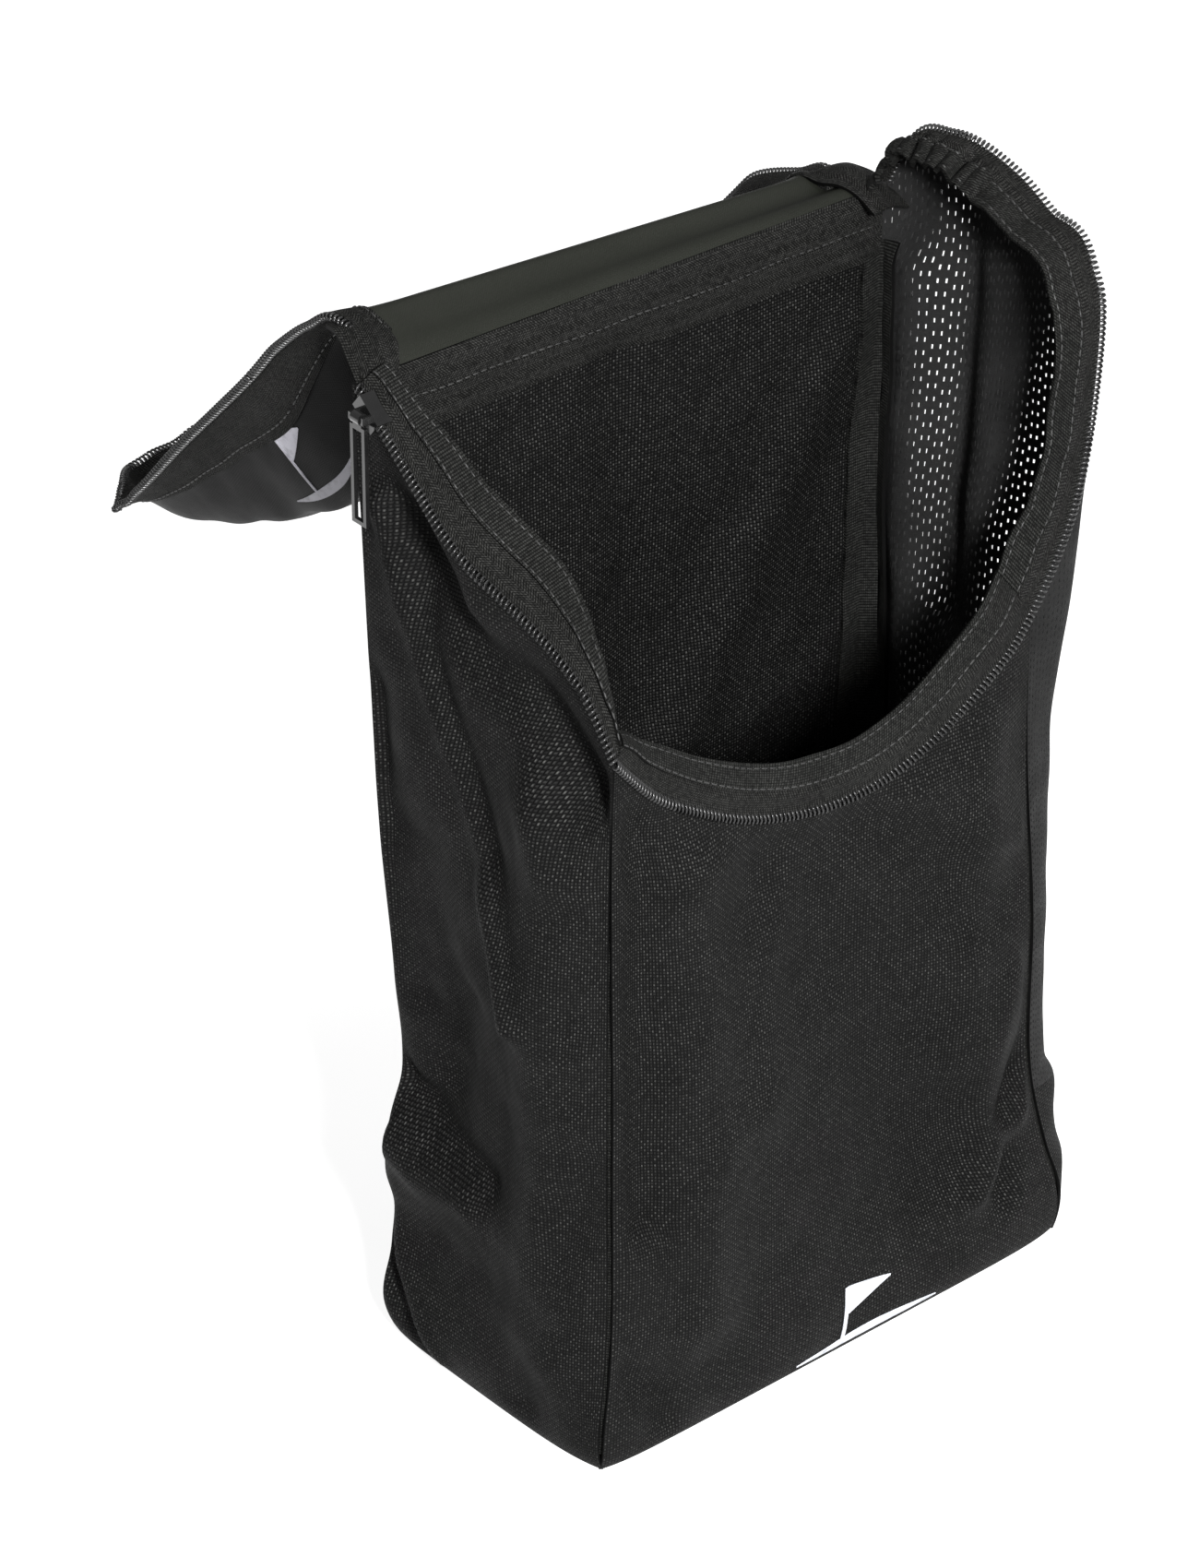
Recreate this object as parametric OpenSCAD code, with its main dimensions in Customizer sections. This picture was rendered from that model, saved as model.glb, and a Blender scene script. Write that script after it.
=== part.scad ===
// Soft bag for a pair of golf shoes, standing open with its zip flap hanging back.
// Origin at the centre of the base. The front faces -Y, the bag's left is -X, +Z is up.
// With the zip open, the left front corner of the mouth slumps and the right side stands tall.

/* [Body] */
// Width across the front
bag_width = 200; // [190:5:210]
// Depth from front to back
bag_depth = 105; // [100:5:115]
// Height of the closed bag
bag_height = 355; // [345:5:365]
// Thickness of a fabric wall
wall_t = 2; // [1.6:0.1:2.2]
// Outward flare of the side walls at the mouth
mouth_flare = 10; // [9:0.5:12]
// Height of the mesh side's lower seam at the front
mesh_seam_front = 65; // [40:5:90]
// Height of the mesh side's lower seam at the back
mesh_seam_back = 15; // [12:1:35]
// Width of the tape bound over a seam
binding_w = 10; // [8:1:12]
// Thickness of the tape bound over a seam
binding_t = 1.6; // [1.2:0.1:1.8]

/* [Front opening] */
// Height of the lowest point of the opening
mouth_low = 219; // [205:1:230]
// Half width of the opening
mouth_half = 94; // [90:0.5:94.5]
// Height of the rounded end of the opening
mouth_round = 86; // [70:1:95]
// Height of the slumped left front corner
slump_z = 272; // [260:1:290]
// Height by which the right side stands above the closed bag
right_rise = 26; // [15:1:30]

/* [Zip] */
// Width of the zip tape
tape_w = 12; // [10:1:14]
// Thickness of the zip tape
tape_t = 1; // [0.8:0.1:1.2]
// Radius of the zip coil
coil_r = 1.2; // [1:0.1:1.4]
// Height of the bend in the left lip
left_bend_z = 317; // [310:1:322]
// Place of the slider along the left coil from its back end
slider_at = 8; // [7:0.5:12]
// Length of the pull loop
pull_l = 36; // [25:1:45]
// Width of the pull loop
pull_w = 7; // [6:0.5:9]

/* [Flap] */
// Length of the flap's root strip, from the hinge to the ridge
root_l = 28; // [20:1:35]
// Angle of the open root strip above level
root_rise = 30; // [20:1:40]
// Angle of the open flap below level
flap_drop = 64; // [50:1:75]
// Angle of the open tongue below level
tongue_drop = 28; // [15:1:40]
// Thickness of the coated flap fabric
flap_t = 1.6; // [1.2:0.1:1.8]

/* [Marks] */
// Height of the printed mark on the front
mark_h = 25; // [20:1:30]
// Place of the front mark's left end to the right of the middle
mark_x = -18; // [-30:1:0]
// Height of the front mark's foot above the base
mark_z = 3; // [2:1:30]

/* [Hidden] */
$fn = 32;
clear = 0.5;
half_w = bag_width / 2;
half_d = bag_depth / 2;
floor_t = 2.4;
flare_from = 120;
top_z = bag_height - 1.7;
lip_gap = 5;

// Left lip: a straight run for the slider, then a run to the slumped front corner
lip_x = -(half_w + mouth_flare - 2);
lip_back = [lip_x, half_d - 0.5, bag_height - 2];
lip_bend = [lip_x, half_d - 44.5, left_bend_z];
lip_front = [-(half_w + 1), -(half_d + 3), slump_z];
lip_drop = lip_back - lip_bend;
lip_pitch = atan2(lip_drop[2], lip_drop[1]);
lip_run = norm(lip_drop);

// Flap hinge along the back top edge, ridge where the open flap turns down, crease above the closed front
hinge = [0, half_d - 1, bag_height];
crease_y = -(half_d - 1);
ridge_y = hinge[1] - root_l;
flap_top_l = ridge_y - crease_y;
root_turn = 180 - root_rise;
ridge_turn = root_rise + flap_drop;
tongue_turn = 90 - flap_drop + tongue_drop;
flap_half = half_w - 3;
bead_r = 1.2;
flap_start = bead_r + clear;
ridge_gap = flap_t / 2 + clear;
zip_gap = 2 * coil_r + 0.4;
tongue_half = mouth_half - 2 * zip_gap;

corner_w = 8;
corner_h = 20;
slider_l = 11;
slider_plate = 1.1;
slider_inner = 1.75;
web_out = -3.6;
pin_r = 0.7;
pin_x = web_out - 2.4;
ear_y = 2.4;
ear_t = 1.1;
coil_seg = 8;
u_steps = 24;

function ease(t) = let (c = min(1, max(0, t))) c * c * (3 - 2 * c);

// Outward swell of a side wall: none at the corners, fullest at the mouth
function side_swell(y, z) = mouth_flare * ease((z - flare_from) / (bag_height - flare_from))
    * (1 - pow(y / half_d, 4));

// Upper edges of the side walls, below their zips
function line_z(y, a, b) = a[2] + (b[2] - a[2]) * (y - a[1]) / (b[1] - a[1]);
function lip_z(y) = y > lip_bend[1] ? line_z(y, lip_back, lip_bend) : line_z(y, lip_bend, lip_front);
function left_top(y) = lip_z(y) - lip_gap;
function right_top(y) = y > half_d - 6 ? top_z - 4
    : top_z + right_rise * pow(sin(180 * pow((half_d - 6 - y) / (2 * half_d - 6), 0.75)), 0.7);

// Edge of the front opening, from the slumped left corner to the top of the right arm
function mouth_left(s, inset) = let (run = half_w - wall_t, rise = slump_z - mouth_low,
    slope = rise * 2.4 * pow(s, 1.4), n = [slope, run] / norm([slope, run]))
    [-s * run, mouth_low + rise * pow(s, 2.4)] + inset * n;
function mouth_right(a, inset) = [(mouth_half - inset) * sin(a),
    mouth_low + mouth_round - (mouth_round - inset) * cos(a)];
function mouth_path(inset) = concat(
    [for (i = [u_steps:-1:1]) mouth_left(i / u_steps, inset)],
    [for (i = [0:u_steps]) mouth_right(90 * i / u_steps, inset)],
    [[mouth_half - inset, top_z - 2]]);
function u_path(half, low) = concat(
    [[-half, bag_height - flap_start - 1]],
    [for (i = [-u_steps:u_steps]) [half * sin(90 * i / u_steps),
        mouth_low + mouth_round - (mouth_low + mouth_round - low) * cos(90 * i / u_steps)]],
    [[half, bag_height - flap_start - 1]]);

// Closed sheet from a grid of outer points and the matching inner points
module sheet(outer, inner) {
    rows = len(outer);
    cols = len(outer[0]);
    n = rows * cols;
    points = concat([for (r = outer, p = r) p], [for (r = inner, p = r) p]);
    grid = [for (r = [0:rows - 2], c = [0:cols - 2]) [r * cols + c, c + 1 + r * cols,
        (r + 1) * cols + c + 1, (r + 1) * cols + c]];
    rim = concat([for (c = [0:cols - 1]) c], [for (r = [1:rows - 1]) r * cols + cols - 1],
        [for (c = [cols - 2:-1:0]) (rows - 1) * cols + c], [for (r = [rows - 2:-1:1]) r * cols]);
    m = len(rim);
    faces = concat(
        [for (q = grid) each [[q[0], q[1], q[2]], [q[0], q[2], q[3]]]],
        [for (q = grid) each [[n + q[2], n + q[1], n + q[0]], [n + q[3], n + q[2], n + q[0]]]],
        [for (i = [0:m - 1]) let (a = rim[i], b = rim[(i + 1) % m])
            each [[b, a, n + a], [b, n + a, n + b]]]);
    polyhedron(points, faces);
}

// Patch of a side wall between two heights; side is -1 on the left and 1 on the right
module side_patch(side, low, high, depth0, depth1, y0 = -half_d, y1 = half_d, cols = 24, rows = 10) {
    ys = [for (i = [0:cols]) y0 + (y1 - y0) * i / cols];
    function at(y, f, d) = let (z = low(y) + (high(y) - low(y)) * f)
        [side * (half_w + side_swell(y, z) - d), y, z];
    a = [for (j = [0:rows]) [for (y = ys) at(y, j / rows, depth0)]];
    b = [for (j = [0:rows]) [for (y = ys) at(y, j / rows, depth1)]];
    if (side < 0) sheet(b, a);
    else sheet(a, b);
}

// Round cord through a list of points
module cord(path, r) {
    last = len(path) - 1;
    function along(i) = let (d = path[min(last, i + 1)] - path[max(0, i - 1)]) d / norm(d);
    function ring(i) = let (t = along(i), u0 = cross(t, [0.3, 1, 0.2]), u = u0 / norm(u0), v = cross(t, u))
        [for (k = [0:coil_seg - 1]) path[i] + r * (u * cos(360 * k / coil_seg) + v * sin(360 * k / coil_seg))];
    points = [for (i = [0:last], p = ring(i)) p];
    faces = concat([[for (k = [0:coil_seg - 1]) k]],
        [[for (k = [coil_seg - 1:-1:0]) last * coil_seg + k]],
        [for (i = [0:last - 1], k = [0:coil_seg - 1]) let (a = i * coil_seg + k,
            b = i * coil_seg + (k + 1) % coil_seg)
            each [[b, a, a + coil_seg], [b, a + coil_seg, b + coil_seg]]]);
    polyhedron(points, faces);
}

// Flat piece drawn in X and Z, at a depth along Y
module upright(y0, y1) {
    translate([0, y1, 0]) rotate([90, 0, 0]) linear_extrude(y1 - y0) children();
}

// Generic printed mark: a pin flag on its pole over a short green
module pin_flag(h) {
    square([2.5 * h, 0.08 * h]);
    translate([0.75 * h, 0.08 * h]) square([0.07 * h, 0.92 * h]);
    translate([0.82 * h, 0.45 * h]) polygon([[0, 0], [0, 0.55 * h], [1.1 * h, 0.28 * h]]);
}

// Turns a part of the closed flap about a line across the bag
module fold(y, turn) {
    translate([0, y, bag_height]) rotate([-turn, 0, 0]) translate([0, -y, -bag_height]) children();
}

module open_root() {
    fold(hinge[1], root_turn) children();
}

module open_flap() {
    open_root() fold(ridge_y, ridge_turn) children();
}

module open_tongue() {
    open_flap() fold(crease_y, tongue_turn) children();
}

module on_lip(along) {
    translate(lip_back) rotate([lip_pitch, 0, 0]) translate([0, -along, 0]) children();
}

// Body

module front_panel() {
    color("#1c1c1b") upright(-half_d, -half_d + wall_t)
        polygon(concat([[half_w - wall_t, floor_t], [-(half_w - wall_t), floor_t]], mouth_path(0),
            [[half_w - wall_t, top_z - 2]]));
}

module left_side_panel() {
    color("#1c1c1b") side_patch(-1, function (y) floor_t, function (y) left_top(y), 0, wall_t);
}

function mesh_seam(y) = mesh_seam_front + (mesh_seam_back - mesh_seam_front) * (y + half_d) / bag_depth;

module right_mesh_panel() {
    color("#2a2a29") side_patch(1, function (y) mesh_seam(y) + 0.2,
        function (y) right_top(y), 0, wall_t, cols = 36);
}

module right_lower_panel() {
    color("#1c1c1b") side_patch(1, function (y) floor_t, function (y) mesh_seam(y) - 0.2, 0, wall_t,
        rows = 3);
}

module back_panel() {
    color("#1f1f1e") translate([-(half_w - wall_t), half_d - wall_t, floor_t])
        cube([bag_width - 2 * wall_t, wall_t, bag_height - 3 - floor_t]);
}

module bottom_panel() {
    color("#1c1c1b") translate([-half_w, -half_d, 0]) cube([bag_width, bag_depth, floor_t]);
}

// Tape bound over the seam at one inside corner; it lies on the side wall
module corner_binding(side, y0, y1, high) {
    color("#141413") side_patch(side, function (y) floor_t + binding_t + clear, function (y) high,
        wall_t + 0.1, wall_t + 0.1 + binding_t, y0, y1, 4, 8);
}

front_in = -half_d + wall_t + 0.3;
back_in = half_d - wall_t - 0.3;

module front_left_seam_binding() {
    corner_binding(-1, front_in, front_in + binding_w, slump_z - 16);
}

module front_right_seam_binding() {
    corner_binding(1, front_in, front_in + binding_w, top_z - 40);
}

module back_left_seam_binding() {
    corner_binding(-1, back_in - binding_w, back_in, top_z - 22);
}

module back_right_seam_binding() {
    corner_binding(1, back_in - binding_w, back_in, top_z - 22);
}

module bottom_seam_binding() {
    inner_w = bag_width - 2 * wall_t - 1;
    inner_d = bag_depth - 2 * wall_t - 1;
    color("#141413") translate([0, 0, floor_t]) linear_extrude(binding_t) difference() {
        square([inner_w, inner_d], center = true);
        square([inner_w - 2 * binding_w, inner_d - 2 * binding_w], center = true);
    }
}

module mesh_seam_binding() {
    inset = wall_t + 2 + binding_w;
    color("#141413") side_patch(1, function (y) mesh_seam(y) - binding_w / 2,
        function (y) mesh_seam(y) + binding_w / 2,
        wall_t + 0.1, wall_t + 0.1 + binding_t, -half_d + inset, half_d - inset, 8, 2);
}

module hinge_tape() {
    y_face = half_d - wall_t;
    color("#161615") {
        translate([-flap_half, y_face - binding_t, bag_height - 17]) cube([2 * flap_half, binding_t, 14.9]);
        translate([-flap_half, y_face - 1, bag_height - 3]) cube([2 * flap_half, 1.3, 2.2]);
        translate([-flap_half, hinge[1], hinge[2]]) rotate([0, 90, 0]) cylinder(h = 2 * flap_half, r = bead_r);
    }
}

module front_mark() {
    color("#dfe2ea") upright(-half_d - 0.4, -half_d) translate([mark_x, mark_z]) pin_flag(mark_h);
}

// Zip on the body

// Band inward from the left coil; it stops short of both corners
module left_zip_tape() {
    stops = [lip_back + 0.1 * (lip_bend - lip_back), lip_bend, lip_bend + 0.84 * (lip_front - lip_bend)];
    function row(x, z) = [for (p = stops) p + [x, 0, z]];
    near = coil_r + 0.1;
    color("#171716") sheet(
        [row(near, tape_t / 2), row(near + tape_w, tape_t / 2)],
        [row(near, -tape_t / 2), row(near + tape_w, -tape_t / 2)]);
}

module left_zip_coil() {
    color("#0e0e0e") {
        on_lip(0) rotate([90, 0, 0]) cylinder(h = lip_run, r = coil_r);
        cord([lip_bend, (lip_bend + lip_front) / 2, lip_front], coil_r);
    }
}

function right_rim(i, steps, drop) = let (y = half_d - 8 - (2 * half_d - 8) * i / steps,
    z = right_top(y) + drop) [half_w + side_swell(y, z) - wall_t / 2, y, z];

module right_zip_tape() {
    color("#171716") side_patch(1, function (y) right_top(y) - tape_w, function (y) right_top(y) - 0.5,
        wall_t + 0.1, wall_t + 0.1 + tape_t, front_in + binding_w + 2, back_in - 4, 20, 2);
}

module right_zip_coil() {
    color("#0e0e0e") cord([for (i = [0:20]) right_rim(i, 20, coil_r + 1.8)], coil_r);
}

module front_zip_tape() {
    high = mouth_path(0.4);
    low = mouth_path(-tape_w);
    n = len(high) - 9;
    y0 = -half_d + wall_t;
    a = [[for (i = [2:n]) [high[i][0], y0, high[i][1]]], [for (i = [2:n]) [low[i][0], y0, low[i][1]]]];
    b = [for (r = a) [for (p = r) p + [0, tape_t, 0]]];
    color("#171716") sheet(b, a);
}

module front_zip_coil() {
    color("#0e0e0e") cord([for (p = mouth_path(coil_r + 0.3)) [p[0], -half_d + wall_t / 2, p[1]]], coil_r);
}

// Folded tape that closes each end of the zip beside the hinge
module zip_end_covers() {
    color("#161615") {
        translate([lip_x - 2, half_d + 0.6, bag_height - 9]) cube([10, 2.4, 7]);
        translate([half_w + 1, half_d - 3, top_z - 3.6]) cube([4, 5, 8]);
    }
}

// Gathered tape inside the left front corner; it lifts with the corner as the flap closes
module left_corner_tape() {
    color("#171716") translate([-(half_w - wall_t - 3), -half_d + wall_t + tape_t + clear,
        slump_z - corner_h + 2]) cube([corner_w, 1.4, corner_h]);
}

// Gathered tape inside the tall right lip; it sinks with the lip as the flap closes
module right_lip_tape() {
    color("#171716") translate([half_w + mouth_flare / 4, half_d / 6, top_z + 4])
        cube([1.4, corner_h, corner_h * 0.7]);
}

// Flap, drawn closed and then opened

module flap_root_panel() {
    color("#23241f") open_root() translate([-flap_half, ridge_y, bag_height]) {
        translate([0, 0, -flap_t / 2]) cube([2 * flap_half, root_l - flap_start, flap_t]);
        rotate([0, 90, 0]) cylinder(h = 2 * flap_half, r = flap_t / 2);
    }
}

module flap_top_panel() {
    color("#23241f") open_flap() translate([-flap_half, crease_y, bag_height]) {
        translate([0, 0, -flap_t / 2]) cube([2 * flap_half, flap_top_l - ridge_gap, flap_t]);
        rotate([0, 90, 0]) cylinder(h = 2 * flap_half, r = flap_t / 2);
    }
}

module flap_side_zip_tapes() {
    color("#171716") open_flap() for (side = [-1, 1])
        translate([side * (flap_half - tape_w / 2) - tape_w / 2, crease_y + 4, bag_height - flap_t / 2 - tape_t])
            cube([tape_w, flap_top_l - 8, tape_t]);
}

module flap_side_zip_coils() {
    color("#0e0e0e") open_flap() for (side = [-1, 1])
        translate([side * (flap_half + coil_r), ridge_y - 4, bag_height]) rotate([90, 0, 0])
            cylinder(h = flap_top_l - 8, r = coil_r);
}

module flap_tongue_panel() {
    color("#23241f") open_tongue() upright(crease_y - flap_t / 2, crease_y + flap_t / 2)
        polygon(u_path(tongue_half, mouth_low + 2 * zip_gap));
}

module tongue_zip_tape() {
    outer = u_path(tongue_half, mouth_low + 2 * zip_gap);
    inner = u_path(tongue_half - tape_w, mouth_low + 2 * zip_gap + tape_w);
    n = len(outer) - 1;
    color("#171716") open_tongue() upright(crease_y + flap_t / 2, crease_y + flap_t / 2 + tape_t)
        polygon(concat([for (i = [1:n - 1]) outer[i]], [for (i = [n - 1:-1:1]) inner[i]]));
}

module tongue_zip_coil() {
    color("#0e0e0e") open_tongue() cord([for (p = u_path(tongue_half + coil_r, mouth_low + 2 * zip_gap - coil_r))
        [p[0], crease_y, p[1]]], coil_r);
}

module flap_mark() {
    color("#8d8a92") open_tongue() upright(crease_y - flap_t / 2 - 0.4, crease_y - flap_t / 2)
        translate([-tongue_half + 14, bag_height - 62]) pin_flag(mark_h);
}

// Slider

module slider_body() {
    color("#101010") on_lip(slider_at) {
        for (side = [-1, 1]) translate([web_out, -slider_l / 2,
            side * (slider_inner + slider_plate / 2) - slider_plate / 2])
            cube([9, slider_l, slider_plate]);
        translate([web_out, -slider_l / 2, -slider_inner]) cube([1.8, slider_l, 2 * slider_inner]);
    }
}

module slider_bridge() {
    color("#101010") on_lip(slider_at) rotate([-lip_pitch, 0, 0]) {
        for (side = [-1, 1]) translate([pin_x - 1.2, side * (ear_y + ear_t / 2) - ear_t / 2, -1.2])
            cube([web_out - pin_x + 1.2, ear_t, 2.4]);
        translate([pin_x, ear_y, 0]) rotate([90, 0, 0]) cylinder(h = 2 * ear_y, r = pin_r);
    }
}

module pull_loop() {
    bar = 1.4;
    eye_r = 1.9;
    neck_w = 2 * ear_y - 0.8;
    neck_l = 2.6;
    color("#101010") on_lip(slider_at) rotate([-lip_pitch, 0, 0]) translate([pin_x, 0, 0]) {
        difference() {
            union() {
                translate([0, neck_w / 2, 0]) rotate([90, 0, 0]) cylinder(h = neck_w, r = eye_r);
                translate([-bar / 2, -neck_w / 2, -neck_l - bar]) cube([bar, neck_w, neck_l]);
            }
            translate([0, ear_y, 0]) rotate([90, 0, 0]) cylinder(h = 2 * ear_y, r = pin_r + 0.3);
        }
        difference() {
            translate([-bar / 2, -pull_w / 2, -pull_l]) cube([bar, pull_w, pull_l - neck_l]);
            translate([-bar, -pull_w / 2 + bar, -pull_l + bar])
                cube([2 * bar, pull_w - 2 * bar, pull_l - neck_l - 2 * bar]);
        }
    }
}

front_panel();
left_side_panel();
right_mesh_panel();
right_lower_panel();
back_panel();
bottom_panel();
front_left_seam_binding();
front_right_seam_binding();
back_left_seam_binding();
back_right_seam_binding();
bottom_seam_binding();
mesh_seam_binding();
hinge_tape();
left_zip_tape();
front_zip_tape();
right_zip_tape();
left_zip_coil();
front_zip_coil();
right_zip_coil();
zip_end_covers();
front_mark();
left_corner_tape();
right_lip_tape();
flap_root_panel();
flap_top_panel();
flap_side_zip_tapes();
flap_side_zip_coils();
flap_tongue_panel();
tongue_zip_tape();
tongue_zip_coil();
flap_mark();
slider_body();
slider_bridge();
pull_loop();
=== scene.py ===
import math
import bpy
import numpy as np
from mathutils import Matrix, Vector


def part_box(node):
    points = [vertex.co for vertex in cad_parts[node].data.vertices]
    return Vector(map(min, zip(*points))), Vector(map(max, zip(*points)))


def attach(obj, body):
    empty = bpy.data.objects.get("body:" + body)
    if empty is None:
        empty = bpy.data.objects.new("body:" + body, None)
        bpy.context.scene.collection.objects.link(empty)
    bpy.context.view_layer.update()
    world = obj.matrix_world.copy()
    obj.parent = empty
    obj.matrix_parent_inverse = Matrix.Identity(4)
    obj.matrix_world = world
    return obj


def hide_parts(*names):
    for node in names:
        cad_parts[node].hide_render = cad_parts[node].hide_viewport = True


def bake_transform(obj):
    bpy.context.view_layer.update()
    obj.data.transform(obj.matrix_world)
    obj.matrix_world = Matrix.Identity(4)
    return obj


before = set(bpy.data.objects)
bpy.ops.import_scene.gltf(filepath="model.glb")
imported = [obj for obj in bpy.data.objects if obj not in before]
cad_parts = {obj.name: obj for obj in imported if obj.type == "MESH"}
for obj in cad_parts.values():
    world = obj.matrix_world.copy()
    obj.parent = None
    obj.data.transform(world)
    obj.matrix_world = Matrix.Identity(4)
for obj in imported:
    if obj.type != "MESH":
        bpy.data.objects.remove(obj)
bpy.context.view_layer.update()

# All lengths below are millimetres in the CAD frame; MM turns them into metres.
MM = 0.001
BACK_TOP = 353.0     # top edge of the back panel
CLOTH_T = 1.0        # thickness of the woven cloth
THREAD = 1.15        # pitch of its threads
FOLD_DEPTH = 1.75    # how much deeper the folds lie than their rows say
SWELL, RUFFLE = 0.9, 0.35    # height of the long and the short waves in the cloth
TAU = 2 * math.pi


# ---------------------------------------------------------------- small maths

def ease(t):
    t = np.clip(t, 0.0, 1.0)
    return t * t * (3 - 2 * t)


def spline(rows):
    """A smooth curve through rows of (key, value...), as a function of the key."""
    rows = np.array(rows, float)
    key, val = rows[:, 0], rows[:, 1:]
    slope = np.gradient(val, key, axis=0)

    def at(t):
        t = np.clip(np.asarray(t, float), key[0], key[-1])
        i = np.clip(np.searchsorted(key, t, side="right") - 1, 0, len(key) - 2)
        h = key[i + 1] - key[i]
        s, h = ((t - key[i]) / h)[..., None], h[..., None]
        out = (val[i] * (1 + 2 * s) * (1 - s) ** 2 + slope[i] * h * s * (1 - s) ** 2
               + val[i + 1] * s * s * (3 - 2 * s) + slope[i + 1] * h * s * s * (s - 1))
        return out[..., 0] if out.shape[-1] == 1 else out
    return at


def unit(v):
    return v / np.maximum(np.linalg.norm(v, axis=-1, keepdims=True), 1e-9)


def ripple(a, b, scale, seed):
    """Smooth uneven waves, about -1 to 1."""
    rng = np.random.default_rng(seed)
    out = 0.0
    for _ in range(7):
        turn, phase, rate = rng.uniform(0, math.pi), rng.uniform(0, TAU), rng.uniform(0.6, 1.6)
        out = out + np.sin(TAU * rate * (a * math.cos(turn) + b * math.sin(turn)) / scale + phase)
    return out / 3.5


def crease(a, z, line, depth, width):
    """Height of a fold along a line of (a, z) points on a wall."""
    near = np.full(np.broadcast(a, z).shape, 1e9)
    for (a0, z0), (a1, z1) in zip(line, line[1:]):
        da, dz = a1 - a0, z1 - z0
        t = np.clip(((a - a0) * da + (z - z0) * dz) / (da * da + dz * dz), 0, 1)
        near = np.minimum(near, np.hypot(a - a0 - t * da, z - z0 - t * dz))
    return depth * np.exp(-(near / width) ** 2)


# ---------------------------------------------------------------- the bag's walls

# Corner lines of the standing bag, as (height, x, y)
FRONT_LEFT = spline([(0, -99, -50.5), (10, -99.5, -51), (40, -97, -51), (120, -96.5, -51), (200, -97, -51),
                     (245, -98.5, -53), (272, -101, -57)])
FRONT_RIGHT = spline([(0, 102, -50.5), (14, 102, -51), (40, 93, -51), (69, 84.5, -51), (138, 80.5, -50.5),
                      (206, 77, -49), (251, 80, -45.5)])
BACK_RIGHT = spline([(0, 99, 50), (60, 100, 51), (200, 100, 51.5), (352, 102, 52)])
BACK_LEFT = spline([(0, -102, 50), (14, -105, 51), (36, -101, 51), (50, -99.5, 51), (66, -103, 51),
                    (84, -101, 51), (100, -96, 51), (140, -97.5, 51), (196, -102, 51.5), (285, -107, 52),
                    (354.5, -109, 55)])

# Lines of the zip coil round the mouth, as (share of the side, x, y, z)
LEFT_LIP = spline([(0, -109, 55, 354.5), (0.03, -108, 52, 353), (0.09, -108, 45.4, 347.6),
                   (0.25, -108, 27, 332.5), (0.38, -108, 12, 320.3), (0.44, -107.3, 5, 315.4),
                   (0.54, -105.5, -6, 310), (0.66, -103, -19, 303.5), (0.78, -101.5, -32, 297),
                   (0.90, -101, -46, 287), (1, -101, -57, 272)])
FRONT_LIP = spline([(0, -101, -57, 272), (0.03, -96, -55.8, 266), (0.09, -85, -54.2, 254),
                    (0.21, -63, -53.5, 238), (0.34, -40, -53, 226.5), (0.50, -10, -53, 219.5),
                    (0.61, 10, -53, 220), (0.73, 31, -52.8, 226), (0.85, 53, -51.5, 236.5),
                    (0.94, 70, -48.5, 245), (1, 80, -45.5, 251.5)])
RIGHT_LIP = spline([(0, 80, -45.5, 251.5), (0.03, 88, -45.2, 264), (0.06, 96, -44.8, 281),
                    (0.09, 100.5, -44.5, 299), (0.12, 103.5, -44, 320), (0.16, 106.5, -42, 345),
                    (0.22, 109.5, -34, 359), (0.40, 110.5, -14, 369), (0.56, 110, 2, 377),
                    (0.78, 107.5, 27, 381), (0.92, 106, 44, 373), (1, 102, 52, 353)])
BACK_LIP = spline([(0, 102, 52, BACK_TOP), (0.5, -3.5, 52.5, BACK_TOP), (1, -109, 55, BACK_TOP)])


# How far each wall stands out from the line between its corners, at a place u along it and a height z
# and at a distance from its first and its second corner.

def bulge_left(u, z, from_back, from_front):
    return (2.5 * (1 - np.exp(-from_back / 5)) + 4.5 * (1 - np.exp(-from_front / 13)) - 1.5
            + 3 * ease((z - 120) / 120) * np.sin(math.pi * u))


def bulge_front(u, z, from_left, from_right):
    return 2.6 * (1 - np.exp(-from_left / 9)) + 2.4 * (1 - np.exp(-from_right / 10)) - 1.2


def bulge_right(u, z, from_front, from_back):
    deep = 13 + 6 * ease((z - 60) / 200)
    wide = 5 + 6 * ease((z - 60) / 200)
    lean = deep * (1 - 0.75 * ease(u * 1.15)) * (1 - np.exp(-from_front / wide))
    hollow = -7 * ease((z - 150) / 120) * np.exp(-((from_front - 52) / 15) ** 2)
    return lean * ease(z / 30) + 3 * (1 - np.exp(-from_back / 5)) + hollow


def bulge_back(u, z, from_right, from_left):
    ends = 2.2 * (1 - np.exp(-from_right / 7)) + 2.2 * (1 - np.exp(-from_left / 7))
    return ends - 1.6 * ease((z - 120) / 200)


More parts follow.
